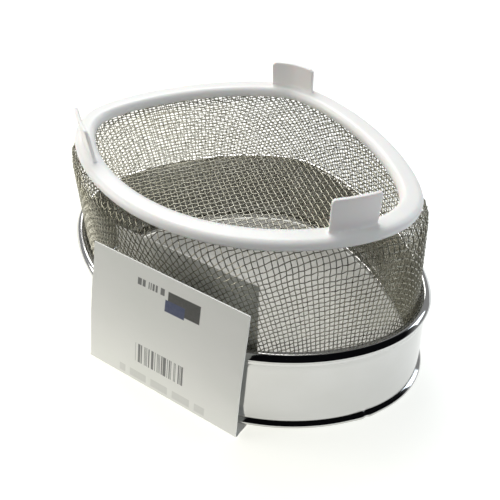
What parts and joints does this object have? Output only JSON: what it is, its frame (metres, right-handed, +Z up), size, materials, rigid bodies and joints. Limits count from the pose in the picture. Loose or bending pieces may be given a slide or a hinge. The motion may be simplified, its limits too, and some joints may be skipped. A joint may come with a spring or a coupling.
{
  "type": "kitchen sink corner strainer",
  "caption": "Rounded-triangle woven wire strainer in a polished steel collar with a plastic foot ring, resting on its mouth, with a folded retail card on the rim.",
  "frame": {"origin": "centre of the bounding box's underside, on the surface the mouth stands on", "axes": "+X across the wide diagonal, +Y towards the sharper apex corner, +Z up, from the mouth towards the feet"},
  "size_m": [0.2204, 0.1692, 0.1369],
  "materials": {
    "polished_steel": "mirror-polished stainless sheet, not plated",
    "woven_wire": "drawn stainless wire in a square plain weave",
    "white_plastic": "moulded off-white plastic with a soft sheen",
    "board": null
  },
  "bodies": {
    "strainer": {"collar_band": "polished_steel", "collar_lip": "polished_steel", "neck_bead": "polished_steel", "mouth_bead": "polished_steel", "mesh_basket": "woven_wire", "foot_ring": "white_plastic", "foot_apex": "white_plastic", "foot_left": "white_plastic", "foot_right": "white_plastic"},
    "card": {"retail_card": "board"}
  },
  "joints": [
    {"name": "card_pull", "type": "slide", "parent": "strainer", "child": "card", "axis": [-0.0051, -0.087, -0.9962], "range_m": [0, 0.12]}
  ]
}
